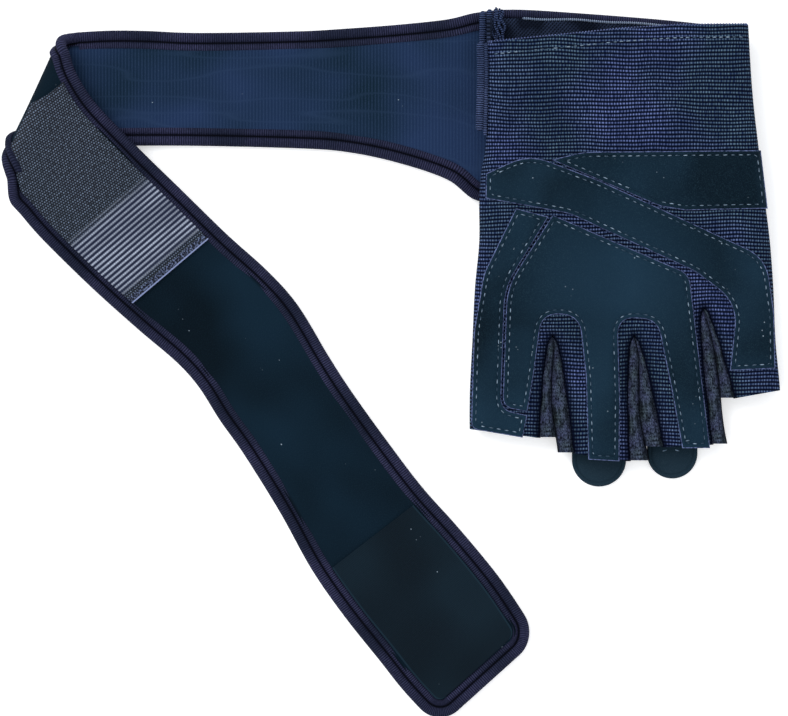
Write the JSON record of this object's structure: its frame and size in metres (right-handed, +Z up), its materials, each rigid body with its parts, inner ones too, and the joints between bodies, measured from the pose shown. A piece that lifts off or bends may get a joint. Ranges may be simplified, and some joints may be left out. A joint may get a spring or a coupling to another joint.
{
  "type": "weightlifting glove",
  "caption": "Fingerless weightlifting glove in navy knit with dark suede palm pads and a long padded wrist wrap, lying palm side up.",
  "frame": {"origin": "on the surface the glove lies on, under the middle of its whole outline", "axes": "+Z up from the surface, +Y from the finger ends to the cuff, +X from the thumb side to the little-finger side"},
  "size_m": [0.2714, 0.247, 0.0212],
  "materials": {
    "knit": "matte ribbed knit",
    "gusset_knit": "matte fuzzy knit",
    "suede": "matte suede",
    "binding": "ribbed elastic tape",
    "strap_lining": "matte brushed jersey",
    "webbing": "woven with shiny ribs",
    "hook": "matte hook tape"
  },
  "bodies": {
    "root": {"palm_panel": "knit", "back_panel": "knit", "gusset_index_middle": "gusset_knit", "gusset_middle_ring": "gusset_knit", "gusset_ring_little": "gusset_knit", "thumb_stall": "knit", "palm_pad": "suede", "edge_strip": "suede", "palm_band": "suede", "wrist_patch": "suede", "pull_tab_middle": "suede", "pull_tab_ring": "suede", "slit_binding_palm": "binding", "slit_binding_back": "binding", "strap": "strap_lining", "strap_binding": "binding", "web_panel": "webbing", "hook_patch": "hook"}
  },
  "joints": []
}
